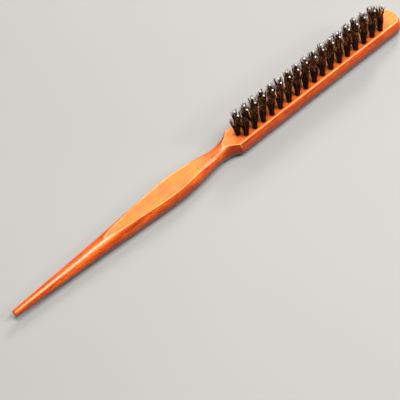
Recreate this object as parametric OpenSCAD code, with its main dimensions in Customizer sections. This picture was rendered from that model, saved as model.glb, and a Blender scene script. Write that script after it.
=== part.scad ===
// Rat-tail teasing brush: a lacquered wooden handle and head, turned in one piece
// from round stock and planed flat on its top and back,
// three staggered rows of bristle tufts, the flat wire anchors that hold them,
// and ball-tipped pins in two of the rows.
// Units are millimetres. +X runs from the tail's tip to the head's nose,
// +Z is the way the bristles stand, and the flat back lies on Z = 0.

/* [Wood] */
// Overall length of the wood, tail tip to nose
total_length = 236; // [180:1:280]
// Thickness across the two planed flats
flat_thickness = 8.5; // [6:0.1:12]

/* [Head] */
// Diameter of the round stock, which the head keeps
stock_diameter = 13.7; // [10:0.1:18]
// Distance from the tail's tip to the shoulder where the head's full section starts
head_start = 130.6; // [100:0.1:160]
// Length of the rounded nose
nose_length = 4.8; // [2:0.1:8]

/* [Tail and grip] */
// Diameter of the tail at its blunt tip
tip_diameter = 3; // [2:0.1:5]
// Diameter of the tail just behind the tip's rounding
tail_end_diameter = 3.9; // [2.5:0.1:6]
// Diameter where the tail meets the belly
tail_root_diameter = 8.2; // [5:0.1:12]
// Largest diameter of the belly
belly_diameter = 13.1; // [9:0.1:18]
// Distance from the tail's tip to the belly's largest diameter
belly_position = 94; // [70:0.5:110]
// Diameter of the neck behind the head
neck_diameter = 7.9; // [6:0.1:10]
// Distance from the tail's tip to the neck
neck_position = 120.6; // [100:0.1:130]

/* [Bristle rows] */
// Tufts in each outer row; the centre row has one more
tufts_per_row = 17; // [8:1:17]
// Spacing of the tufts along a row
tuft_pitch = 5.4; // [4:0.05:8]
// Spacing between neighbouring rows
row_spacing = 2.93; // [2.4:0.01:4]
// Distance from the tail's tip to the first tuft of an outer row
first_tuft = 136.6; // [132:0.1:150]
// Diameter of the blind holes the tufts sit in
hole_diameter = 2.4; // [1.5:0.05:3]
// Depth of the blind holes
hole_depth = 5.8; // [3:0.1:7]

/* [Bristles] */
// Height of the bristle tips above the wood
bristle_height = 11.2; // [8:0.1:20]
// Diameter of a tuft at its top, where the bristles spread
tuft_top_diameter = 3.4; // [2:0.1:4]
// Play between a tuft and its hole, all round
tuft_play = 0.02; // [0.01:0.01:0.1]

/* [Anchors] */
// Length of an anchor, a little wider than the hole so that it bites the wood
anchor_length = 2.9; // [2.4:0.05:3.4]
// Thickness of the anchor wire
anchor_thickness = 0.35; // [0.2:0.05:0.5]
// Height of the anchor wire
anchor_height = 1.2; // [0.8:0.1:2]
// Height of the anchor's lower edge above the hole's floor
anchor_lift = 0.7; // [0.3:0.1:1.5]

/* [Ball pins] */
// Diameter of a pin's shank
pin_diameter = 0.4; // [0.3:0.05:0.6]
// Diameter of the ball on a pin's end
ball_diameter = 1; // [0.6:0.05:1.4]
// Height of a ball's centre above the wood
ball_height = 11.9; // [9:0.1:21]
// Lean of the centre row's pins towards the nose, in degrees
centre_pin_lean = 4; // [0:0.5:5]

/* [Hidden] */
$fn = 48;
half_length = total_length / 2;
axis_height = flat_thickness / 2;
head_radius = stock_diameter / 2;
outer_first = first_tuft - half_length;
centre_first = outer_first - tuft_pitch / 2;
hole_floor = flat_thickness - hole_depth;
tuft_radius = hole_diameter / 2 - tuft_play;
anchor_bottom = hole_floor + anchor_lift;
pin_foot = anchor_bottom + anchor_height + 0.05;
wood_color = [0.76, 0.36, 0.12];
bristle_color = [0.07, 0.045, 0.035];
anchor_color = [0.72, 0.66, 0.5];
pin_color = [0.8, 0.78, 0.74];

// The spindle's shape: distance from the tip, and radius, at each station. The last
// station lies past the shoulder and only sets how steeply the flare runs into it.
stations = [
    [0, tip_diameter / 2],
    [0.6, tip_diameter / 2 + 0.18],
    [5, tail_end_diameter / 2],
    [20, tail_end_diameter / 2 + 0.33 * (tail_root_diameter - tail_end_diameter) / 2],
    [50, tail_root_diameter / 2],
    [73, 0.42 * tail_root_diameter / 2 + 0.58 * belly_diameter / 2],
    [belly_position, belly_diameter / 2],
    [0.52 * belly_position + 0.48 * neck_position, 0.36 * neck_diameter / 2 + 0.64 * belly_diameter / 2],
    [neck_position, neck_diameter / 2],
    [0.45 * neck_position + 0.55 * head_start, 0.76 * neck_diameter / 2 + 0.24 * head_radius],
    [head_start, head_radius],
    [head_start + 2.4, head_radius + 2.3]
];
last = len(stations) - 1;

// Slope of the spindle at station i, kept flat at its largest and smallest places
function chord(i) = (stations[i + 1][1] - stations[i][1]) / (stations[i + 1][0] - stations[i][0]);
function slope(i) = i == 0 ? chord(0)
    : i == last ? chord(last - 1)
    : chord(i - 1) * chord(i) <= 0 ? 0
    : 2 * chord(i - 1) * chord(i) / (chord(i - 1) + chord(i));

// A point on the smooth curve between stations i and i + 1
function between(i, t) = let (
        w = stations[i + 1][0] - stations[i][0],
        a = 2 * t * t * t - 3 * t * t + 1,
        b = t * t * t - 2 * t * t + t,
        c = 3 * t * t - 2 * t * t * t,
        d = t * t * t - t * t
    ) [a * stations[i][1] + b * w * slope(i) + c * stations[i + 1][1] + d * w * slope(i + 1),
       stations[i][0] + t * w];

steps = 5;
spindle_points = [for (i = [0 : last - 2], s = [0 : steps - 1]) between(i, s / steps)];
nose_points = [for (a = [0 : 7.5 : 82.5])
    [head_radius * cos(a), total_length - nose_length * (1 - sin(a))]];

// The turned shape, running along X
module spindle() {
    translate([-half_length, 0, axis_height])
        rotate([0, 90, 0])
            rotate_extrude()
                polygon(concat([[0, 0]], spindle_points, [[head_radius, head_start]],
                    nose_points, [[0, total_length]]));
}

// One blind hole with the slit its anchor bites into
module tuft_hole(x, y) {
    translate([x, y, hole_floor]) cylinder(h = hole_depth + 1, d = hole_diameter);
    translate([x - anchor_thickness / 2 - 0.02, y - anchor_length / 2 - 0.02, anchor_bottom - 0.02])
        cube([anchor_thickness + 0.04, anchor_length + 0.04, anchor_height + 0.04]);
}

module all_holes() {
    for (i = [0 : tufts_per_row - 1], s = [-1, 1])
        tuft_hole(outer_first + i * tuft_pitch, s * row_spacing);
    for (i = [0 : tufts_per_row])
        tuft_hole(centre_first + i * tuft_pitch, 0);
}

// The handle and head in one piece of wood
module wooden_body() {
    color(wood_color)
    difference() {
        intersection() {
            spindle();
            translate([-half_length - 1, -head_radius - 1, 0])
                cube([total_length + 2, stock_diameter + 2, flat_thickness]);
        }
        all_holes();
    }
}

// A tuft: packed straight in its hole, spreading to a domed top above it
module tuft_shape(pin) {
    top = flat_thickness + bristle_height;
    r = tuft_top_diameter / 2;
    difference() {
        rotate_extrude()
            polygon([
                [0, hole_floor + 0.03],
                [tuft_radius - 0.15, hole_floor + 0.03],
                [tuft_radius, hole_floor + 0.2],
                [tuft_radius, flat_thickness + 0.4],
                [tuft_radius + 0.35 * (r - tuft_radius), flat_thickness + 0.5 * bristle_height],
                [r, top - 0.9],
                [r - 0.12, top - 0.45],
                [r - 0.5, top - 0.12],
                [0, top]]);
        translate([-anchor_thickness / 2 - 0.02, -2, anchor_bottom - 0.02])
            cube([anchor_thickness + 0.04, 4, anchor_height + 0.04]);
        if (pin > 0)
            translate([0, 0, pin_foot - 0.03]) rotate([0, pin == 2 ? centre_pin_lean : 0, 0])
                cylinder(h = bristle_height + hole_depth + 2, d = pin_diameter + 0.04, $fn = 16);
    }
}

module right_tuft(i) {
    color(bristle_color) translate([outer_first + (i - 1) * tuft_pitch, -row_spacing, 0]) tuft_shape(0);
}

module left_tuft(i) {
    color(bristle_color) translate([outer_first + (i - 1) * tuft_pitch, row_spacing, 0]) tuft_shape(1);
}

module centre_tuft(i) {
    color(bristle_color) translate([centre_first + (i - 1) * tuft_pitch, 0, 0]) tuft_shape(2);
}

// A short length of flat wire, driven in across the row
module anchor(x, y) {
    translate([x - anchor_thickness / 2, y - anchor_length / 2, anchor_bottom])
        cube([anchor_thickness, anchor_length, anchor_height]);
}

module anchors_right() {
    color(anchor_color)
        for (i = [0 : tufts_per_row - 1]) anchor(outer_first + i * tuft_pitch, -row_spacing);
}

module anchors_centre() {
    color(anchor_color)
        for (i = [0 : tufts_per_row]) anchor(centre_first + i * tuft_pitch, 0);
}

module anchors_left() {
    color(anchor_color)
        for (i = [0 : tufts_per_row - 1]) anchor(outer_first + i * tuft_pitch, row_spacing);
}

// A shank with a ball on its end, standing on its anchor
module ball_pin(x, y, lean) {
    reach = (flat_thickness + ball_height - pin_foot) / cos(lean);
    translate([x, y, pin_foot]) rotate([0, lean, 0]) {
        cylinder(h = reach, d = pin_diameter, $fn = 16);
        translate([0, 0, reach]) sphere(d = ball_diameter, $fn = 24);
    }
}

module ball_pins_centre() {
    color(pin_color)
        for (i = [0 : tufts_per_row]) ball_pin(centre_first + i * tuft_pitch, 0, centre_pin_lean);
}

module ball_pins_left() {
    color(pin_color)
        for (i = [0 : tufts_per_row - 1]) ball_pin(outer_first + i * tuft_pitch, row_spacing, 0);
}

module tuft_right_01() { right_tuft(1); }
module tuft_right_02() { right_tuft(2); }
module tuft_right_03() { right_tuft(3); }
module tuft_right_04() { right_tuft(4); }
module tuft_right_05() { right_tuft(5); }
module tuft_right_06() { right_tuft(6); }
module tuft_right_07() { right_tuft(7); }
module tuft_right_08() { right_tuft(8); }
module tuft_right_09() { right_tuft(9); }
module tuft_right_10() { right_tuft(10); }
module tuft_right_11() { right_tuft(11); }
module tuft_right_12() { right_tuft(12); }
module tuft_right_13() { right_tuft(13); }
module tuft_right_14() { right_tuft(14); }
module tuft_right_15() { right_tuft(15); }
module tuft_right_16() { right_tuft(16); }
module tuft_right_17() { right_tuft(17); }
module tuft_centre_01() { centre_tuft(1); }
module tuft_centre_02() { centre_tuft(2); }
module tuft_centre_03() { centre_tuft(3); }
module tuft_centre_04() { centre_tuft(4); }
module tuft_centre_05() { centre_tuft(5); }
module tuft_centre_06() { centre_tuft(6); }
module tuft_centre_07() { centre_tuft(7); }
module tuft_centre_08() { centre_tuft(8); }
module tuft_centre_09() { centre_tuft(9); }
module tuft_centre_10() { centre_tuft(10); }
module tuft_centre_11() { centre_tuft(11); }
module tuft_centre_12() { centre_tuft(12); }
module tuft_centre_13() { centre_tuft(13); }
module tuft_centre_14() { centre_tuft(14); }
module tuft_centre_15() { centre_tuft(15); }
module tuft_centre_16() { centre_tuft(16); }
module tuft_centre_17() { centre_tuft(17); }
module tuft_centre_18() { centre_tuft(18); }
module tuft_left_01() { left_tuft(1); }
module tuft_left_02() { left_tuft(2); }
module tuft_left_03() { left_tuft(3); }
module tuft_left_04() { left_tuft(4); }
module tuft_left_05() { left_tuft(5); }
module tuft_left_06() { left_tuft(6); }
module tuft_left_07() { left_tuft(7); }
module tuft_left_08() { left_tuft(8); }
module tuft_left_09() { left_tuft(9); }
module tuft_left_10() { left_tuft(10); }
module tuft_left_11() { left_tuft(11); }
module tuft_left_12() { left_tuft(12); }
module tuft_left_13() { left_tuft(13); }
module tuft_left_14() { left_tuft(14); }
module tuft_left_15() { left_tuft(15); }
module tuft_left_16() { left_tuft(16); }
module tuft_left_17() { left_tuft(17); }

// Which sub-part to draw

wooden_body();
tuft_right_01();
tuft_right_02();
tuft_right_03();
tuft_right_04();
tuft_right_05();
tuft_right_06();
tuft_right_07();
tuft_right_08();
tuft_right_09();
tuft_right_10();
tuft_right_11();
tuft_right_12();
tuft_right_13();
tuft_right_14();
tuft_right_15();
tuft_right_16();
tuft_right_17();
tuft_centre_01();
tuft_centre_02();
tuft_centre_03();
tuft_centre_04();
tuft_centre_05();
tuft_centre_06();
tuft_centre_07();
tuft_centre_08();
tuft_centre_09();
tuft_centre_10();
tuft_centre_11();
tuft_centre_12();
tuft_centre_13();
tuft_centre_14();
tuft_centre_15();
tuft_centre_16();
tuft_centre_17();
tuft_centre_18();
tuft_left_01();
tuft_left_02();
tuft_left_03();
tuft_left_04();
tuft_left_05();
tuft_left_06();
tuft_left_07();
tuft_left_08();
tuft_left_09();
tuft_left_10();
tuft_left_11();
tuft_left_12();
tuft_left_13();
tuft_left_14();
tuft_left_15();
tuft_left_16();
tuft_left_17();
anchors_right();
anchors_centre();
anchors_left();
ball_pins_centre();
ball_pins_left();
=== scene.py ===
import math
import random

import bmesh
import bpy
from mathutils import Matrix, Vector


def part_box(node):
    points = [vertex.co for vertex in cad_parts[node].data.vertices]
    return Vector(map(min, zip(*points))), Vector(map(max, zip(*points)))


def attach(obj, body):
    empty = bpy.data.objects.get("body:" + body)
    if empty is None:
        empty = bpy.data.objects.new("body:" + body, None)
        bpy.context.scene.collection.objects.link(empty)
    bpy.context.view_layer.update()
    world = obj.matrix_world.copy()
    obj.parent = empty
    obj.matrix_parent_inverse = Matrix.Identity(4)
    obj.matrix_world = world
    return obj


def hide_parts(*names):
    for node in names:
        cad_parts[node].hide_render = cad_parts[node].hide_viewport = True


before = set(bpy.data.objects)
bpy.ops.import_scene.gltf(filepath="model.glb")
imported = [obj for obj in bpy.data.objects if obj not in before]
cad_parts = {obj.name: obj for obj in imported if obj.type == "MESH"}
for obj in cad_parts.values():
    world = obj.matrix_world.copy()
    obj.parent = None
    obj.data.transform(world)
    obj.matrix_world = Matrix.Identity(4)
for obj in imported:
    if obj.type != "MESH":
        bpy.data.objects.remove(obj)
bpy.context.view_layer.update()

MM = 0.001

# ---------------------------------------------------------------- sizes
lo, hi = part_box("wooden_body")
LENGTH = (hi.x - lo.x) / MM
THICK = (hi.z - lo.z) / MM
X0 = lo.x / MM
HEAD_START = 130.6
NOSE_L = 4.8
NECK_X = 120.6
BELLY_X = 94.0
BELLY_D = 13.1
NECK_D = 7.9
TIP_D, TAIL_D, ROOT_D = 3.0, 3.9, 8.2
PITCH, ROW = 5.4, 2.93
HOLE_R, HOLE_DEPTH = 1.2, 5.8
HEAD_R = (hi.y - lo.y) / MM / 2

STATIONS = [
    (0.0, TIP_D / 2),
    (0.6, TIP_D / 2 + 0.18),
    (5.0, TAIL_D / 2),
    (20.0, TAIL_D / 2 + 0.33 * (ROOT_D - TAIL_D) / 2),
    (50.0, ROOT_D / 2),
    (73.0, 0.42 * ROOT_D / 2 + 0.58 * BELLY_D / 2),
    (BELLY_X, BELLY_D / 2),
    (0.52 * BELLY_X + 0.48 * NECK_X, 0.36 * NECK_D / 2 + 0.64 * BELLY_D / 2),
    (NECK_X, NECK_D / 2),
    (0.45 * NECK_X + 0.55 * HEAD_START, 0.76 * NECK_D / 2 + 0.24 * HEAD_R),
    (HEAD_START, HEAD_R),
    (HEAD_START + 2.4, HEAD_R + 2.3),
]


def chord(i):
    return (STATIONS[i + 1][1] - STATIONS[i][1]) / (STATIONS[i + 1][0] - STATIONS[i][0])


def slope(i):
    last = len(STATIONS) - 1
    if i == 0:
        return chord(0)
    if i == last:
        return chord(last - 1)
    a, b = chord(i - 1), chord(i)
    return 0.0 if a * b <= 0 else 2 * a * b / (a + b)


def flare(x):
    """Radius of the smooth curve through the stations, x millimetres from the tail's tip."""
    for i in range(len(STATIONS) - 1):
        x0, x1 = STATIONS[i][0], STATIONS[i + 1][0]
        if x <= x1:
            w = x1 - x0
            t = max(0.0, (x - x0) / w)
            return (
                (2 * t**3 - 3 * t * t + 1) * STATIONS[i][1]
                + (t**3 - 2 * t * t + t) * w * slope(i)
                + (3 * t * t - 2 * t**3) * STATIONS[i + 1][1]
                + (t**3 - t * t) * w * slope(i + 1)
            )
    return STATIONS[-1][1] + (x - STATIONS[-1][0])


def spindle(x):
    """Radius of the turned shape: the flare runs into the round stock at a crisp shoulder."""
    r = flare(x)
    if x > NECK_X:
        d = r - HEAD_R
        r = HEAD_R + (d - math.sqrt(d * d + 0.0144)) / 2
    nose = (x - (LENGTH - NOSE_L)) / NOSE_L
    if nose > 0:
        r = HEAD_R * math.sqrt(max(0.0, 1 - nose * nose))
    return r


def smooth(a, b, x):
    t = min(1.0, max(0.0, (x - a) / (b - a)))
    return t * t * (3 - 2 * t)


def section(x):
    """(circle radius, half thickness, ridge softening) at x."""
    r = spindle(x)
    tip = 0.3 - x
    if tip > 0:
        r -= 0.3 - math.sqrt(max(0.0, 0.09 - tip * tip))
    # the ridge is crisp but for the leaf's last few millimetres, where it is sanded over
    e = 0.30 + 0.16 * smooth(NECK_X, HEAD_START + 3, x) + 1.5 * smooth(104, 113, x) * (1 - smooth(116, 119, x))
    return r, THICK / 2, min(e, r * 0.45)


STEPS = 24  # samples in a quarter of a cross-section


def quarter(x):
    """Points of the first quarter of the cross-section, from +Y round to +Z."""
    r, b, e = section(x)
    ri, bi = r - e, b - e
    cut = math.asin(bi / ri) if ri > bi else math.pi / 2
    pts = []
    n = STEPS * 2 // 3
    for k in range(STEPS + 1):
        # two thirds of the samples on the round flank, the rest on the softened ridge; where
        # the section is fully round, the latter fall together at its top
        f = cut * k / n if k <= n else cut + (math.pi / 2 - cut) * (k - n) / (STEPS - n)
        if f > cut:
            y, z = math.sqrt(ri * ri - bi * bi), bi
        else:
            y, z = ri * math.cos(f), ri * math.sin(f)
        pts.append((y + e * math.cos(f), z + e * math.sin(f)))
    # one more sample just inside the flat, where the ridge's band of painted highlight and lacquer wear ends
    pts.append((max(0.0, pts[-1][0] - 0.26), pts[-1][1]))
    return pts


def ring(x):
    q = quarter(x)
    # the far ridge of the top flat gets a wider band of painted highlight and lacquer wear than the near one
    out = q[:-1] + [(max(0.0, q[-2][0] - 0.60), q[-1][1])]
    out += [(-y, z) for y, z in reversed(q)]
    out += [(-y, -z) for y, z in q]
    out += [(y, -z) for y, z in reversed(q)]
    return out


def link(obj):
    bpy.context.scene.collection.objects.link(obj)
    return obj


def mesh_object(name, verts, faces):
    me = bpy.data.meshes.new(name)
    me.from_pydata(verts, [], faces)
    me.update()
    return link(bpy.data.objects.new(name, me))


def stations_x():
    xs = [0.0, 0.02, 0.08, 0.16, 0.3, 0.45, 0.7, 1.0, 1.5, 2.0, 3.0, 4.0]
    x = 5.0
    while x < 98:
        xs.append(x)
        x += 1.5
    while x < 129.5:
        xs.append(x)
        x += 0.5
    while x < 131.8:
        xs.append(x)
        x += 0.12
    while x < LENGTH - NOSE_L - 0.5:
        xs.append(x)
        x += 2.7
    n = 26
    for k in range(n):
        xs.append(LENGTH - NOSE_L + NOSE_L * math.sin(math.pi / 2 * k / n))
    # close steps where the flats run out into the round
    x = 10.0
    while x < LENGTH - NOSE_L:
        a, b = x, x + 0.5
        if (spindle(a) - THICK / 2) * (spindle(b) - THICK / 2) < 0:
            rising = spindle(b) > THICK / 2
            for _ in range(30):
                c = (a + b) / 2
                if (spindle(c) > THICK / 2) == rising:
                    b = c
                else:
                    a = c
            side = 1 if rising else -1
            for d in (-0.3, 0.0, 0.006, 0.03, 0.08, 0.16, 0.27, 0.42, 0.62, 0.88, 1.2):
                xs.append(c + side * d)
        x += 0.5
    xs = sorted(xs)
    return [v for i, v in enumerate(xs) if i == 0 or v - xs[i - 1] > 0.0035]


# ---------------------------------------------------------------- material helpers
class Nodes:
    """Short ways to add shader nodes."""

    def __init__(self, name):
        self.m = bpy.data.materials.new(name)
        self.m.use_nodes = True
        self.t = self.m.node_tree
        self.t.nodes.clear()
        self.out = self.t.nodes.new("ShaderNodeOutputMaterial")
        self.bsdf = self.t.nodes.new("ShaderNodeBsdfPrincipled")
        self.t.links.new(self.bsdf.outputs[0], self.out.inputs[0])

    def new(self, kind, **props):
        n = self.t.nodes.new(kind)
        for k, v in props.items():
            setattr(n, k, v)
        return n

    def link(self, a, b):
        self.t.links.new(a, b)

    def set(self, node, **values):
        for k, v in values.items():
            node.inputs[k.replace("_", " ")].default_value = v

    def coords(self, scale, rot=(0, 0, 0), loc=(0, 0, 0)):
        tc = self.new("ShaderNodeTexCoord")
        mp = self.new("ShaderNodeMapping")
        mp.inputs["Scale"].default_value = scale
        mp.inputs["Rotation"].default_value = rot
        mp.inputs["Location"].default_value = loc
        self.link(tc.outputs["Object"], mp.inputs["Vector"])
        return mp.outputs[0]

    def noise(self, vec, scale=1.0, detail=3.0, rough=0.5, distort=0.0):
        n = self.new("ShaderNodeTexNoise")
        n.inputs["Scale"].default_value = scale
        n.inputs["Detail"].default_value = detail
        n.inputs["Roughness"].default_value = rough
        n.inputs["Distortion"].default_value = distort
        self.link(vec, n.inputs["Vector"])
        return n.outputs["Fac"]

    def ramp(self, fac, stops):
        n = self.new("ShaderNodeValToRGB")
        cr = n.color_ramp
        while len(cr.elements) > 1:
            cr.elements.remove(cr.elements[-1])
        cr.elements[0].position = stops[0][0]
        cr.elements[0].color = (*stops[0][1], 1)
        for p, c in stops[1:]:
            el = cr.elements.new(p)
            el.color = (*c, 1)
        self.link(fac, n.inputs[0])
        return n.outputs[0]

    def range(self, fac, a, b, c, d):
        n = self.new("ShaderNodeMapRange")
        n.inputs[1].default_value = a
        n.inputs[2].default_value = b
        n.inputs[3].default_value = c
        n.inputs[4].default_value = d
        self.link(fac, n.inputs[0])
        return n.outputs[0]

    def mix(self, fac, a, b, mode="MIX"):
        n = self.new("ShaderNodeMix", data_type="RGBA", blend_type=mode)
        for sock, v in ((n.inputs[0], fac), (n.inputs[6], a), (n.inputs[7], b)):
            if isinstance(v, (int, float)):
                sock.default_value = v
            elif isinstance(v, tuple):
                sock.default_value = (*v, 1)
            else:
                self.link(v, sock)
        return n.outputs[2]

    def math(self, op, a, b=None, clamp=False):
        n = self.new("ShaderNodeMath", operation=op, use_clamp=clamp)
        for sock, v in zip(n.inputs, (a, b)):
            if v is None:
                continue
            if isinstance(v, (int, float)):
                sock.default_value = v
            else:
                self.link(v, sock)
        return n.outputs[0]

    def attribute(self, name):
        n = self.new("ShaderNodeAttribute", attribute_name=name)
        return n.outputs["Fac"]

    def bump(self, height, strength, distance, normal=None):
        n = self.new("ShaderNodeBump")
        n.inputs["Strength"].default_value = strength
        n.inputs["Distance"].default_value = distance
        self.link(height, n.inputs["Height"])
        if normal is not None:
            self.link(normal, n.inputs["Normal"])
        return n.outputs[0]


def wood_material():
    m = Nodes("lacquered_wood")
    # growth rings of a board sawn far from the heart: faint lines that run along X
    tc = m.coords((3.0, 260, 120), rot=(0.22, 0, 0.010))
    rings = m.new("ShaderNodeTexWave", wave_type="BANDS", bands_direction="Y", wave_profile="SIN")
    m.link(tc, rings.inputs["Vector"])
    rings.inputs["Scale"].default_value = 0.55
    rings.inputs["Distortion"].default_value = 3.0
    rings.inputs["Detail"].default_value = 3.0
    rings.inputs["Detail Scale"].default_value = 0.9
    fibre = m.noise(m.coords((85, 1500, 1500)), 1.0, 4.0, 0.68)
    fine = m.noise(m.coords((420, 4200, 4200)), 1.0, 2.0, 0.5)
    pores = m.noise(m.coords((520, 2300, 2300), loc=(3.1, 1.7, 0.4)), 1.0, 1.0, 0.4)
    pores = m.range(pores, 0.57, 0.66, 0.0, 1.0)
    patch = m.noise(m.coords((130, 250, 250), loc=(1.3, 4.2, 0.7)), 1.0, 3.0, 0.6)
    slow = m.noise(m.coords((11, 60, 60), loc=(0.2, 2.2, 5.7)), 1.0, 2.0, 0.5)

    figure = m.math("ADD", m.math("MULTIPLY", rings.outputs["Fac"], 0.16), m.math("MULTIPLY", fibre, 0.84))
    figure = m.math("ADD", figure, m.math("MULTIPLY", m.math("SUBTRACT", fine, 0.5), 0.35))
    base = m.ramp(
        figure,
        [
            (0.26, (0.18, 0.011, 0.0006)),
            (0.42, (0.34, 0.030, 0.0012)),
            (0.56, (0.44, 0.058, 0.0020)),
            (0.74, (0.54, 0.098, 0.0045)),
        ],
    )
    tint = m.ramp(patch, [(0.30, (0.88, 0.72, 0.90)), (0.5, (1.0, 1.0, 1.0)), (0.70, (1.04, 1.28, 1.10))])
    base = m.mix(0.8, base, tint, "MULTIPLY")
    tint2 = m.ramp(slow, [(0.35, (0.90, 0.82, 0.80)), (0.65, (1.06, 1.14, 1.10))])
    base = m.mix(0.8, base, tint2, "MULTIPLY")
    base = m.mix(m.math("MULTIPLY", pores, 0.66), base, (0.10, 0.009, 0.0012))
    # painted shade on the cheek, where the neck flares into the head
    painted_cheek_shade = m.attribute("painted_cheek_shade")
    base = m.mix(m.math("MULTIPLY", painted_cheek_shade, 0.78), base, (0.15, 0.010, 0.0012))
    # painted shade: the round sides darken towards the underside
    base = m.mix(m.math("MULTIPLY", m.attribute("painted_low_shade"), 0.72), base, (0.10, 0.006, 0.0006))
    # painted sheen on the planed flats, partly real: they took less stain than the turned skin
    flat_stain_and_sheen = m.noise(m.coords((150, 330, 330), loc=(7.3, 0.2, 1.9)), 1.0, 3.0, 0.6)
    flat_stain_and_sheen = m.ramp(flat_stain_and_sheen, [(0.34, (0.64, 0.135, 0.058)), (0.50, (0.58, 0.145, 0.030)), (0.66, (0.58, 0.190, 0.020))])
    planed = m.math("MULTIPLY", m.attribute("plane"), m.range(patch, 0.30, 0.70, 0.30, 0.56))
    base = m.mix(planed, base, flat_stain_and_sheen)
    # painted shade of the tufts on the flat between them, with darker, redder stain that stays where the flat can't be
    # rubbed down or polished
    at = m.new("ShaderNodeSeparateXYZ")
    m.link(m.coords((1, 1, 1)), at.inputs[0])
    tuft_shade_and_stain = m.range(m.math("ABSOLUTE", at.outputs["Y"]), 0.0050, 0.0040, 0.0, 1.0)
    tuft_shade_and_stain = m.math("MULTIPLY", tuft_shade_and_stain, m.range(at.outputs["X"], (X0 + 132.6) * MM, (X0 + 134.8) * MM, 0.0, 1.0))
    tuft_shade_and_stain = m.math("MULTIPLY", tuft_shade_and_stain, m.range(at.outputs["X"], (X0 + 229.4) * MM, (X0 + 227.6) * MM, 0.0, 1.0))
    tuft_shade_and_stain = m.math("MULTIPLY", tuft_shade_and_stain, m.attribute("plane"))
    tuft_shade_and_stain = m.math("MULTIPLY", tuft_shade_and_stain, m.range(at.outputs["Z"], THICK * MM * 0.4, THICK * MM * 0.6, 0.0, 1.0))
    tuft_shade_and_stain = m.math("MULTIPLY", tuft_shade_and_stain, m.range(patch, 0.35, 0.65, 0.45, 0.75))
    base = m.mix(tuft_shade_and_stain, base, (0.24, 0.026, 0.0040))
    # painted highlight along the ridges, partly real wear: thinner lacquer there
    edge = m.attribute("edge")
    nick = m.noise(m.coords((260, 900, 900)), 1.0, 3.0, 0.6)
    wear_and_painted_shine = m.math("MULTIPLY", edge, m.range(nick, 0.30, 0.62, 0.40, 1.0), clamp=True)
    base = m.mix(m.math("MULTIPLY", wear_and_painted_shine, 0.85), base, (0.66, 0.30, 0.105))
    # end grain at the tip and the nose, and painted shade in the hole rims, deepening down the hole walls
    end = m.attribute("end")
    speck = m.noise(m.coords((900, 5200, 5200)), 1.0, 3.0, 0.6)
    end_col = m.ramp(speck, [(0.3, (0.14, 0.03, 0.007)), (0.7, (0.40, 0.11, 0.03))])
    base = m.mix(m.math("MULTIPLY", end, 0.8), base, end_col)
    dark = m.attribute("painted_hole_shade")
    base = m.mix(m.math("MULTIPLY", dark, 0.85), base, (0.035, 0.006, 0.002))
    m.link(base, m.bsdf.inputs["Base Color"])

    smear = m.noise(m.coords((420, 900, 900)), 1.0, 3.0, 0.6)
    rough = m.range(smear, 0.3, 0.7, 0.28, 0.38)
    rough = m.math("ADD", rough, m.math("MULTIPLY", end, 0.2))
    rough = m.math("ADD", rough, m.math("MULTIPLY", wear_and_painted_shine, 0.05))
    m.link(rough, m.bsdf.inputs["Roughness"])
    grain = m.math("ADD", m.math("MULTIPLY", fine, 0.6), m.math("MULTIPLY", m.math("SUBTRACT", 1.0, pores), 0.8))
    n1 = m.bump(grain, 0.35, 0.00006)
    m.link(n1, m.bsdf.inputs["Normal"])
    # the lacquer film: slight orange peel over the grain that telegraphs through it
    peel = m.noise(m.coords((900, 1200, 1200)), 1.0, 2.0, 0.5)
    wave = m.noise(m.coords((70, 260, 260)), 1.0, 2.0, 0.5)
    film = m.math("ADD", m.math("MULTIPLY", peel, 0.25), wave)
    film = m.math("ADD", film, m.math("MULTIPLY", fine, 0.12))
    n2 = m.bump(film, 0.12, 0.00008)
    m.link(n2, m.bsdf.inputs["Coat Normal"])
    b = m.bsdf
    b.inputs["Coat Weight"].default_value = 0.20
    b.inputs["Coat Roughness"].default_value = 0.18
    b.inputs["Coat IOR"].default_value = 1.5
    b.inputs["Specular IOR Level"].default_value = 0.50
    b.inputs["Specular Tint"].default_value = (1.0, 0.66, 0.30, 1)
    return m.m


def bristle_material():
    m = Nodes("dark_bristle")
    shade = m.attribute("shade")
    along = m.attribute("along")
    body = m.ramp(
        shade,
        [(0.0, (0.0005, 0.0004, 0.0005)), (0.62, (0.0014, 0.0008, 0.0007)), (0.84, (0.0030, 0.0012, 0.0009)), (1.0, (0.010, 0.0034, 0.0019))],
    )
    streak = m.noise(m.coords((9000, 9000, 420)), 1.0, 2.0, 0.5)
    body = m.mix(0.5, body, m.ramp(streak, [(0.3, (0.45, 0.45, 0.45)), (0.7, (1.5, 1.4, 1.3))]), "MULTIPLY")
    # brown locks among the black ones, mostly towards the tips: partly real brown bristles, partly painted glints where
    # light catches them
    lock = m.range(m.noise(m.coords((1600, 1600, 950)), 1.0, 2.0, 0.6), 0.56, 0.61, 0.0, 1.0)
    lock = m.math("MULTIPLY", lock, m.range(along, 0.15, 0.95, 0.05, 1.0))
    body = m.mix(m.math("MULTIPLY", lock, 0.44), body, (0.064, 0.018, 0.0070))
    tip = m.math("MULTIPLY", m.range(along, 0.86, 1.0, 0.0, 1.0), m.range(shade, 0.45, 0.95, 0.05, 0.95))
    body = m.mix(tip, body, (0.20, 0.066, 0.024))
    m.link(body, m.bsdf.inputs["Base Color"])
    m.link(m.range(streak, 0.3, 0.7, 0.30, 0.50), m.bsdf.inputs["Roughness"])
    m.link(m.bump(streak, 0.3, 0.00002), m.bsdf.inputs["Normal"])
    m.bsdf.inputs["Specular IOR Level"].default_value = 0.16
    m.bsdf.inputs["Specular Tint"].default_value = (1.0, 0.66, 0.48, 1)
    return m.m


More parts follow.
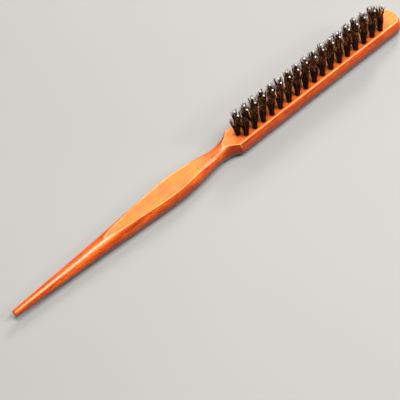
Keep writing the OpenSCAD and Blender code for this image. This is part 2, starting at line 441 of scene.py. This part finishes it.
def shank_material():
    m = Nodes("pin_shank_nylon")
    cloud = m.noise(m.coords((3000, 3000, 500)), 1.0, 3.0, 0.5)
    m.link(m.ramp(cloud, [(0.3, (0.010, 0.008, 0.007)), (0.7, (0.030, 0.022, 0.018))]), m.bsdf.inputs["Base Color"])
    m.link(m.range(cloud, 0.3, 0.7, 0.22, 0.36), m.bsdf.inputs["Roughness"])
    m.link(m.bump(cloud, 0.15, 0.00002), m.bsdf.inputs["Normal"])
    return m.m


def ball_material():
    m = Nodes("pin_ball_nylon")
    cloud = m.noise(m.coords((1800, 1800, 1800)), 1.0, 3.0, 0.55)
    m.link(m.ramp(cloud, [(0.3, (0.40, 0.36, 0.31)), (0.7, (0.56, 0.52, 0.46))]), m.bsdf.inputs["Base Color"])
    m.link(m.range(cloud, 0.3, 0.7, 0.12, 0.24), m.bsdf.inputs["Roughness"])
    m.link(m.bump(cloud, 0.2, 0.00002), m.bsdf.inputs["Normal"])
    m.bsdf.inputs["Subsurface Weight"].default_value = 0.15
    m.bsdf.inputs["Subsurface Radius"].default_value = (0.0006, 0.0005, 0.0004)
    m.bsdf.inputs["Coat Weight"].default_value = 1.0
    m.bsdf.inputs["Coat Roughness"].default_value = 0.06
    return m.m


def wire_material():
    m = Nodes("anchor_wire_brass")
    draw = m.noise(m.coords((8000, 600, 8000)), 1.0, 3.0, 0.6)
    m.link(m.ramp(draw, [(0.3, (0.50, 0.38, 0.18)), (0.7, (0.78, 0.66, 0.38))]), m.bsdf.inputs["Base Color"])
    m.link(m.range(draw, 0.3, 0.7, 0.28, 0.48), m.bsdf.inputs["Roughness"])
    m.link(m.bump(draw, 0.3, 0.00002), m.bsdf.inputs["Normal"])
    m.bsdf.inputs["Metallic"].default_value = 1.0
    return m.m


def floor_material():
    m = Nodes("pale_floor")
    n = m.noise(m.coords((6, 6, 6)), 1.0, 2.0, 0.5)
    m.link(m.ramp(n, [(0.3, (0.192, 0.193, 0.196)), (0.7, (0.200, 0.201, 0.204))]), m.bsdf.inputs["Base Color"])
    m.bsdf.inputs["Roughness"].default_value = 0.8
    m.bsdf.inputs["Specular IOR Level"].default_value = 0.2
    return m.m


WOOD = wood_material()
BRISTLE = bristle_material()
SHANK = shank_material()
BALL = ball_material()
WIRE = wire_material()

# ---------------------------------------------------------------- the wooden body
OUTER_FIRST = 136.6
CENTRE_FIRST = OUTER_FIRST - PITCH / 2
ROWS = [
    ("right", -ROW, [OUTER_FIRST + PITCH * i for i in range(17)]),
    ("centre", 0.0, [CENTRE_FIRST + PITCH * i for i in range(18)]),
    ("left", ROW, [OUTER_FIRST + PITCH * i for i in range(17)]),
]


def wooden_body():
    xs = stations_x()
    verts, faces = [], []
    rings = []
    for x in xs:
        start = len(verts)
        pts = ring(x)
        for y, z in pts:
            verts.append(((X0 + x) * MM, y * MM, (z + THICK / 2) * MM))
        rings.append((start, len(pts)))
    for (a, n), (b, _) in zip(rings, rings[1:]):
        for k in range(n):
            k2 = (k + 1) % n
            faces.append((a + k, a + k2, b + k2, b + k))
    a, n = rings[0]
    faces.append(tuple(a + k for k in reversed(range(n))))
    b, n = rings[-1]
    faces.append(tuple(b + k for k in range(n)))
    obj = mesh_object("wooden_body_turned", verts, faces)
    bm = bmesh.new()
    bm.from_mesh(obj.data)
    bmesh.ops.remove_doubles(bm, verts=bm.verts, dist=2e-6)
    bmesh.ops.dissolve_degenerate(bm, edges=bm.edges, dist=1e-6)
    bmesh.ops.recalc_face_normals(bm, faces=bm.faces)
    bm.to_mesh(obj.data)
    bm.free()
    return obj


def hole_cutter():
    verts, faces = [], []
    n = 28
    for _, y, row in ROWS:
        for x in row:
            prof = [
                (HOLE_R * 0.97, THICK - HOLE_DEPTH),
                (HOLE_R, THICK - HOLE_DEPTH + 0.1),
                (HOLE_R, THICK - 0.14),
                (HOLE_R + 0.05, THICK - 0.05),
                (HOLE_R + 0.14, THICK),
                (HOLE_R + 0.20, THICK + 0.5),
            ]
            base = len(verts)
            for r, z in prof:
                for k in range(n):
                    a = 2 * math.pi * k / n
                    verts.append(((X0 + x + r * math.cos(a)) * MM, (y + r * math.sin(a)) * MM, z * MM))
            for j in range(len(prof) - 1):
                for k in range(n):
                    k2 = (k + 1) % n
                    faces.append((base + j * n + k, base + j * n + k2, base + (j + 1) * n + k2, base + (j + 1) * n + k))
            faces.append(tuple(base + k for k in reversed(range(n))))
            t = base + (len(prof) - 1) * n
            faces.append(tuple(t + k for k in range(n)))
    return mesh_object("cutter", verts, faces)


def edge_mask(x, y, z):
    """(how far on a ridge with painted highlight and lacquer wear, with a painted highlight line round the shoulder's
    upper half; how far on a planed flat) a point of the wood's skin is.
    """
    r, b, e = section(max(0.0, min(LENGTH, x)))
    ri, bi = r - e, b - e
    up = z / b
    y, z = abs(y), abs(z)
    best, flat = 0.0, 0.0
    if ri > bi:
        dy, dz = y - math.sqrt(ri * ri - bi * bi), z - bi
        if dz > 0 and dy > -0.05 and math.hypot(dy, dz) < e * 1.3:
            f0 = math.asin(bi / ri)
            t = (math.atan2(dz, dy) - f0) / (math.pi / 2 - f0)
            best = smooth(-0.15, 0.35, t) * min(1.0, 0.5 / e)
        if dy <= -0.05 and dz > e - 0.02:
            flat = 1.0
    # painted highlight line round the upper half of the shoulder ring
    shoulder = 0.60 * math.exp(-(((x - HEAD_START - 0.05) / 0.28) ** 2)) * smooth(0.15, 0.95, up)
    return max(best, shoulder * (1 - flat)), flat


def finish_wood(obj):
    me = obj.data
    edge, end, painted_hole_shade, painted_cheek_shade, plane, painted_low_shade = [], [], [], [], [], []
    holes = [(x, y) for _, y, row in ROWS for x in row]
    for v in me.vertices:
        x = v.co.x / MM - X0
        y, z = v.co.y / MM, v.co.z / MM - THICK / 2
        ridge_shine_and_wear, planed = edge_mask(x, y, z)
        edge.append(ridge_shine_and_wear)
        # the leaf-shaped flat fades into the turned neck, where it was sanded over
        plane.append(planed * (1 - smooth(110.5, 115.5, x) * (1 - smooth(121, 124, x))))
        r = section(max(0.0, min(LENGTH, x)))[0]
        round_side = 1.0 - smooth(THICK / 2 - 0.5, THICK / 2 - 0.1, abs(z)) if r > THICK / 2 - 0.1 else 1.0
        # painted shade: darker towards the underside of the round sides, away from the ridges
        painted_low_shade.append((1 - ridge_shine_and_wear) * round_side * smooth(-0.75, 0.45, -z / min(r, THICK / 2)))
        # painted shade on the round cheek between the neck and the head
        painted_cheek_shade.append(smooth(119.5, 125.5, x) * (1 - smooth(HEAD_START - 0.5, HEAD_START + 0.1, x)) * round_side)
        e = 0.0
        if x < 0.31:
            e = 1.0 - 0.55 * smooth(0.02, 0.3, x)
        if x > LENGTH - NOSE_L:
            e = 0.55 * smooth(0.55, 1.0, (x - LENGTH + NOSE_L) / NOSE_L)
        end.append(e)
        p = 0.0
        # painted shade in the hole rims, deepening down the hole walls
        if x > HEAD_START and abs(y) < ROW + HOLE_R + 0.3 and z > -THICK / 2 + 0.5:
            for hx, hy in holes:
                if abs(x - hx) < HOLE_R + 0.2 and abs(y - hy) < HOLE_R + 0.2:
                    d = math.hypot(x - hx, y - hy)
                    if d < HOLE_R + 0.155:
                        depth = THICK / 2 - z
                        p = 0.35 + 0.65 * smooth(0.0, 0.6, depth) if depth > 0.02 else 0.2
                        break
        painted_hole_shade.append(p)
    for nm, vals in (("edge", edge), ("end", end), ("painted_hole_shade", painted_hole_shade), ("painted_cheek_shade", painted_cheek_shade), ("plane", plane), ("painted_low_shade", painted_low_shade)):
        at = me.attributes.new(nm, "FLOAT", "POINT")
        at.data.foreach_set("value", vals)
    me.materials.clear()
    me.materials.append(WOOD)
    for poly in me.polygons:
        poly.use_smooth = True
        poly.material_index = 0
    me.set_sharp_from_angle(angle=math.radians(38))


body = wooden_body()
cutter = hole_cutter()
mod = body.modifiers.new("holes", "BOOLEAN")
mod.operation = "DIFFERENCE"
mod.solver = "EXACT"
mod.object = cutter
bpy.context.view_layer.update()
dg = bpy.context.evaluated_depsgraph_get()
cut = bpy.data.meshes.new_from_object(body.evaluated_get(dg))
body.modifiers.clear()
old = body.data
body.data = cut
bpy.data.meshes.remove(old)
bpy.data.objects.remove(cutter)
cut.name = "wooden_body_turned"
finish_wood(body)
wn = body.modifiers.new("weighted", "WEIGHTED_NORMAL")
wn.keep_sharp = True
wn.weight = 60
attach(body, "root")
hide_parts("wooden_body")

# ---------------------------------------------------------------- bristle tufts
BRISTLE_H = 11.0
SIDES = 5


def tube(verts, faces, shade, along, path, radii, tone):
    """A closed thin tube along path (points in millimetres)."""
    base = len(verts)
    n = len(path)
    for i, (p, r) in enumerate(zip(path, radii)):
        a = path[max(0, i - 1)]
        b = path[min(n - 1, i + 1)]
        d = (b - a).normalized()
        u = d.orthogonal().normalized() if abs(d.z) < 0.5 else Vector((1, 0, 0)).cross(d).normalized()
        w = d.cross(u)
        for k in range(SIDES):
            t = 2 * math.pi * k / SIDES
            q = p + (u * math.cos(t) + w * math.sin(t)) * r
            verts.append(q * MM)
            shade.append(tone)
            along.append(i / (n - 1))
    for i in range(n - 1):
        for k in range(SIDES):
            k2 = (k + 1) % SIDES
            faces.append((base + i * SIDES + k, base + i * SIDES + k2, base + (i + 1) * SIDES + k2, base + (i + 1) * SIDES + k))
    faces.append(tuple(base + k for k in reversed(range(SIDES))))
    t = base + (n - 1) * SIDES
    faces.append(tuple(t + k for k in range(SIDES)))


def make_tuft(name, cx, cy, lean, seed, spread=1.0, wisps=2):
    """A bundle of bristles packed in its hole, which spreads and gathers in locks above it."""
    rnd = random.Random(seed)
    verts, faces, shade, along = [], [], [], []
    count = int(86 * spread)
    z0 = THICK - HOLE_DEPTH + 0.12
    golden = math.pi * (3 - math.sqrt(5))
    top_r = 2.45 * spread
    locks = []
    turn = rnd.uniform(0, 6.28)
    for k in range(8):
        a = turn + k * 2 * math.pi / 7
        rr = 0.74 + rnd.gauss(0, 0.10) if k < 7 else 0.0
        locks.append((rr * math.cos(a), rr * math.sin(a), rnd.gauss(0, 0.38), rnd.random(), rnd.gauss(0, 0.10), rnd.gauss(0, 0.10)))
    for i in range(count):
        rr = math.sqrt((i + 0.5) / count)
        ang = i * golden + rnd.uniform(-0.25, 0.25)
        ux, uy = rr * math.cos(ang), rr * math.sin(ang)
        bx, by = ux * (HOLE_R - 0.13), uy * (HOLE_R - 0.13)
        lock = min(locks, key=lambda q: (q[0] - ux) ** 2 + (q[1] - uy) ** 2)
        pull = rnd.uniform(0.10, 0.60)
        tx = (ux * (1 - pull) + lock[0] * pull + lock[4]) * top_r + rnd.gauss(0, 0.26) + lean[0]
        ty = (uy * (1 - pull) + lock[1] * pull + lock[5]) * top_r + rnd.gauss(0, 0.22) + lean[1]
        if rnd.random() < 0.08:
            out = rnd.uniform(0.2, 0.6)
            tx += out * math.cos(ang)
            ty += out * math.sin(ang)
        h = BRISTLE_H - 0.45 * rr * rr + lock[2] * 0.8 + rnd.gauss(0, 0.36)
        if rnd.random() < 0.12:
            h -= rnd.uniform(0.3, 2.0)
        h = min(h, BRISTLE_H + 0.75)
        bow = rnd.gauss(0, 0.20)
        ba = rnd.uniform(0, 2 * math.pi)
        path = [Vector((X0 + cx + bx, cy + by, z0))]
        for s in (0.0, 0.14, 0.40, 0.70, 1.0):
            g = 0.45 * s + 0.55 * s**1.6
            o = bow * math.sin(math.pi * s)
            path.append(
                Vector(
                    (
                        X0 + cx + bx + (tx - bx) * g + o * math.cos(ba),
                        cy + by + (ty - by) * g + o * math.sin(ba),
                        THICK + h * s,
                    )
                )
            )
        r = rnd.uniform(0.085, 0.115)
        tone = min(1.0, max(0.0, 0.40 * lock[3] + 0.60 * rnd.random()))
        tube(verts, faces, shade, along, path, [r, r, r, r * 0.96, r * 0.86, r * 0.55], tone)
    for _ in range(wisps):
        ang = rnd.uniform(0, 2 * math.pi)
        bx, by = 1.05 * math.cos(ang), 1.05 * math.sin(ang)
        out = rnd.uniform(0.9, 1.6)
        h = BRISTLE_H * rnd.uniform(0.86, 0.99)
        path = [
            Vector((X0 + cx + bx, cy + by, THICK - 1.5)),
            Vector((X0 + cx + bx, cy + by, THICK + 0.2)),
        ]
        for s in (0.3, 0.55, 0.8, 1.0):
            path.append(Vector((X0 + cx + bx + (out * math.cos(ang) + lean[0]) * s**1.6, cy + by + (out * math.sin(ang) + lean[1]) * s**1.6, THICK + h * s)))
        tube(verts, faces, shade, along, path, [0.09, 0.09, 0.085, 0.08, 0.07, 0.045], rnd.uniform(0.4, 1))
    obj = mesh_object(name, verts, faces)
    me = obj.data
    for nm, vals in (("shade", shade), ("along", along)):
        at = me.attributes.new(nm, "FLOAT", "POINT")
        at.data.foreach_set("value", vals)
    me.materials.append(BRISTLE)
    for p in me.polygons:
        p.use_smooth = True
    return obj


for row, y, xs_row in ROWS:
    for i, x in enumerate(xs_row):
        rnd = random.Random(1000 + i * 7 + {"right": 0, "centre": 300, "left": 600}[row])
        lean = [rnd.gauss(0, 0.13), rnd.gauss(0, 0.10)]
        spread, wisps = 1.0 + 0.05 * smooth(150, 190, x), 1 + (x > 175)
        if row == "centre":
            lean[0] += 0.15
        if row == "right":
            lean[1] -= 0.10
        if row == "left":
            lean[1] += 0.10
        if row == "centre" and i == 0:
            lean[0], spread, wisps = -0.70, 1.05, 4
        if row != "centre" and i == 0:
            lean[0], spread = -0.20, 1.02
        node = "tuft_%s_%02d" % (row, i + 1)
        obj = make_tuft("bristles_%s_%02d" % (row, i + 1), x, y, lean, 17 * i + 5 + len(row) * 101, spread, wisps)
        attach(obj, "root")
        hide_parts(node)

# ---------------------------------------------------------------- ball-tipped pins
BALL_H = 11.9
BALL_R = 0.5


def make_pins(name, row, y, xs_row, lean_x):
    verts, faces, mats = [], [], []
    n = 16
    for i, x in enumerate(xs_row):
        rnd = random.Random(5000 + i * 13 + len(row))
        dx = lean_x + rnd.gauss(0, 0.28)
        dy = rnd.gauss(0, 0.22) + (-0.15 if row == "centre" else 0.0)
        if row == "left" and i == 0:
            dx -= 0.3
        top = Vector((X0 + x + dx, y + dy, THICK + BALL_H + rnd.gauss(0, 0.18)))
        foot = Vector((X0 + x, y, THICK - HOLE_DEPTH + 1.95))
        mid = Vector((X0 + x + dx * 0.06, y + dy * 0.06, THICK))
        path = []
        for s in (0.0, 0.25, 0.5, 0.75, 1.0):
            path.append(mid.lerp(top, s))
        path[2] += Vector((-dx * 0.10, -dy * 0.10, 0))
        path = [foot] + path
        # shank, then a ball that grows out of it
        prof = [(p, 0.19) for p in path[:-1]]
        prof[-1] = (prof[-1][0], 0.18)
        d = (top - path[-2]).normalized()
        neck = top - d * (BALL_R * 1.12)
        prof.append((neck, 0.18))
        for a in (-64, -48, -30, -12, 8, 28, 46, 62, 76):
            t = math.radians(a)
            prof.append((top + d * (BALL_R * math.sin(t)), BALL_R * math.cos(t)))
        base = len(verts)
        m = len(prof)
        u = Vector((1, 0, 0)).cross(d).normalized()
        w = d.cross(u)
        for p, r in prof:
            for k in range(n):
                t = 2 * math.pi * k / n
                verts.append((p + (u * math.cos(t) + w * math.sin(t)) * r) * MM)
        for j in range(m - 1):
            for k in range(n):
                k2 = (k + 1) % n
                faces.append((base + j * n + k, base + j * n + k2, base + (j + 1) * n + k2, base + (j + 1) * n + k))
                mats.append(1 if j >= len(path) - 1 else 0)
        faces.append(tuple(base + k for k in reversed(range(n))))
        mats.append(0)
        t0 = base + (m - 1) * n
        tip = len(verts)
        verts.append((top + d * BALL_R) * MM)
        for k in range(n):
            faces.append((t0 + k, t0 + (k + 1) % n, tip))
            mats.append(1)
    obj = mesh_object(name, verts, faces)
    obj.data.materials.append(SHANK)
    obj.data.materials.append(BALL)
    for p, mi in zip(obj.data.polygons, mats):
        p.material_index = mi
        p.use_smooth = True
    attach(obj, "root")
    return obj


pins_c = make_pins("pins_centre", "centre", 0.0, ROWS[1][2], 1.75)
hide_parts("ball_pins_centre")
pins_l = make_pins("pins_left", "left", ROW, ROWS[2][2], -0.05)
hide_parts("ball_pins_left")

for row in ("right", "centre", "left"):
    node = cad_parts["anchors_" + row]
    node.data.materials.clear()
    node.data.materials.append(WIRE)

# ---------------------------------------------------------------- floor, light, camera
bpy.ops.mesh.primitive_circle_add(vertices=96, radius=6.0, fill_type="NGON", location=(0, 0, -0.00005))
floor = bpy.context.object
floor.name = "floor"
floor.data.materials.append(floor_material())


def area(name, loc, size_x, size_y, power, color=(1, 1, 1), aim=(0, 0, 0.004)):
    """A rectangular soft light at loc (metres), its long axis kept along X, facing the brush."""
    data = bpy.data.lights.new(name, "AREA")
    data.energy = power
    data.color = color
    data.shape = "RECTANGLE"
    data.size = size_x
    data.size_y = size_y
    obj = link(bpy.data.objects.new(name, data))
    obj.location = loc
    d = (Vector(loc) - Vector(aim)).normalized()
    ax = (Vector((1, 0, 0)) - d * d.x).normalized()
    ay = d.cross(ax)
    obj.rotation_mode = "QUATERNION"
    obj.rotation_quaternion = Matrix((ax, ay, d)).transposed().to_quaternion()
    return obj


area("key", (0.02, -0.03, 1.13), 0.20, 0.50, 16.5, (1.0, 0.98, 0.93))
area("strip", (0.50, -0.46, 1.10), 0.66, 0.30, 17.0, (1.0, 0.97, 0.92))
area("top", (0.12, -0.50, 1.10), 0.34, 0.50, 2.5, (1.0, 0.98, 0.95))
area("softbox", (0.40, 0.61, 0.92), 0.90, 0.46, 6.2, (1.0, 0.85, 0.58))
area("neck", (0.60, -0.70, 0.62), 0.22, 0.22, 6.0, (1.0, 0.95, 0.90))
area("back", (1.05, 0.60, 0.70), 0.34, 0.34, 16.0, (1.0, 0.98, 0.95))
area("rim", (0.33, 1.25, 0.78), 0.70, 0.24, 2.4, (1.0, 0.96, 0.88))

world = bpy.data.worlds.new("studio")
bpy.context.scene.world = world
world.use_nodes = True
world.node_tree.nodes["Background"].inputs[0].default_value = (0.92, 0.94, 0.97, 1)
world.node_tree.nodes["Background"].inputs[1].default_value = 0.12

RIGHT = Vector((0.7557524918868621, -0.6408898609445216, -0.13453013471081574))
UP = Vector((0.5946646339830074, 0.5856139028559726, 0.5508451051535735))
BACK = Vector((-0.2742483256041036, -0.4963028741809857, 0.8236937009489864))
cam_data = bpy.data.cameras.new("camera")
cam = link(bpy.data.objects.new("camera", cam_data))
cam_data.sensor_width = 36.0
cam_data.lens = 136.891
cam_data.clip_start = 0.01
cam_data.clip_end = 50.0
mat = Matrix((RIGHT, UP, BACK)).transposed()
cam.rotation_mode = "QUATERNION"
cam.rotation_quaternion = mat.to_quaternion()
cam.location = Vector((X0 + 117.5 - 210.57290642, -359.88000657, 579.79647147)) * MM
bpy.context.scene.camera = cam
bpy.context.scene.view_settings.view_transform = "Standard"
bpy.context.scene.view_settings.look = "None"
